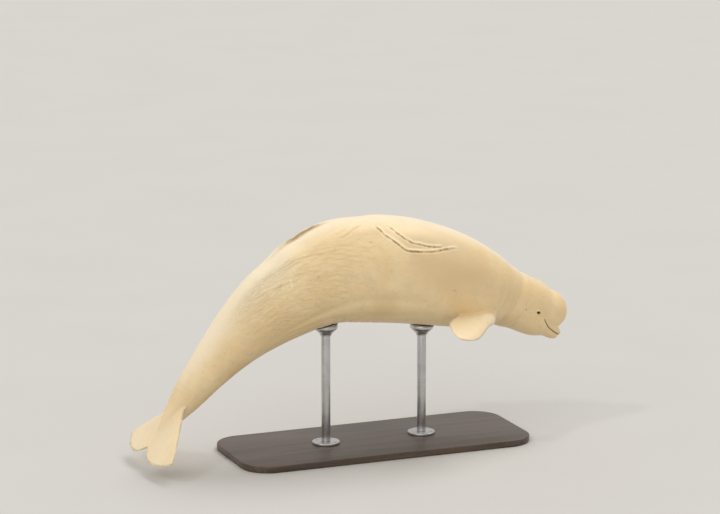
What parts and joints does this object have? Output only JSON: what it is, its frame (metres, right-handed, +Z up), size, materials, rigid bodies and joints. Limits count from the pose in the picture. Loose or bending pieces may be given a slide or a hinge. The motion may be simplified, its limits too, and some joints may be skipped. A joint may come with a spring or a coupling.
{
  "type": "life-size beluga whale model on a display stand",
  "caption": "Life-size still model of an adult beluga whale with an arched back, as it rolls at the surface, on a flat base with short rods.",
  "frame": {"origin": "centre of the base's underside, on the floor", "axes": "+X along the body towards the head's end, +Y to the animal's left, +Z up"},
  "size_m": [3.0435, 1.1432, 1.5682],
  "materials": {
    "skin": "cream-white wet skin, satin",
    "ridge": "brownish tough ridge skin, satin",
    "eye": "dark glossy eye",
    "stand_base": "dark stained board, satin",
    "stand_metal": "brushed"
  },
  "bodies": {
    "root": {"head": "skin", "lower_jaw": "skin", "eye_left": "eye", "eye_right": "eye", "neck": "skin", "chest": "skin", "belly": "skin", "loin": "skin", "tail_stock": "skin", "dorsal_ridge": "ridge", "flipper_left": "skin", "flipper_right": "skin", "fluke_left": "skin", "fluke_right": "skin", "stand_base": "stand_base", "stand_flange_front": "stand_metal", "stand_flange_rear": "stand_metal", "stand_rod_front": "stand_metal", "stand_rod_rear": "stand_metal", "stand_saddle_front": "stand_metal", "stand_saddle_rear": "stand_metal"}
  },
  "joints": []
}
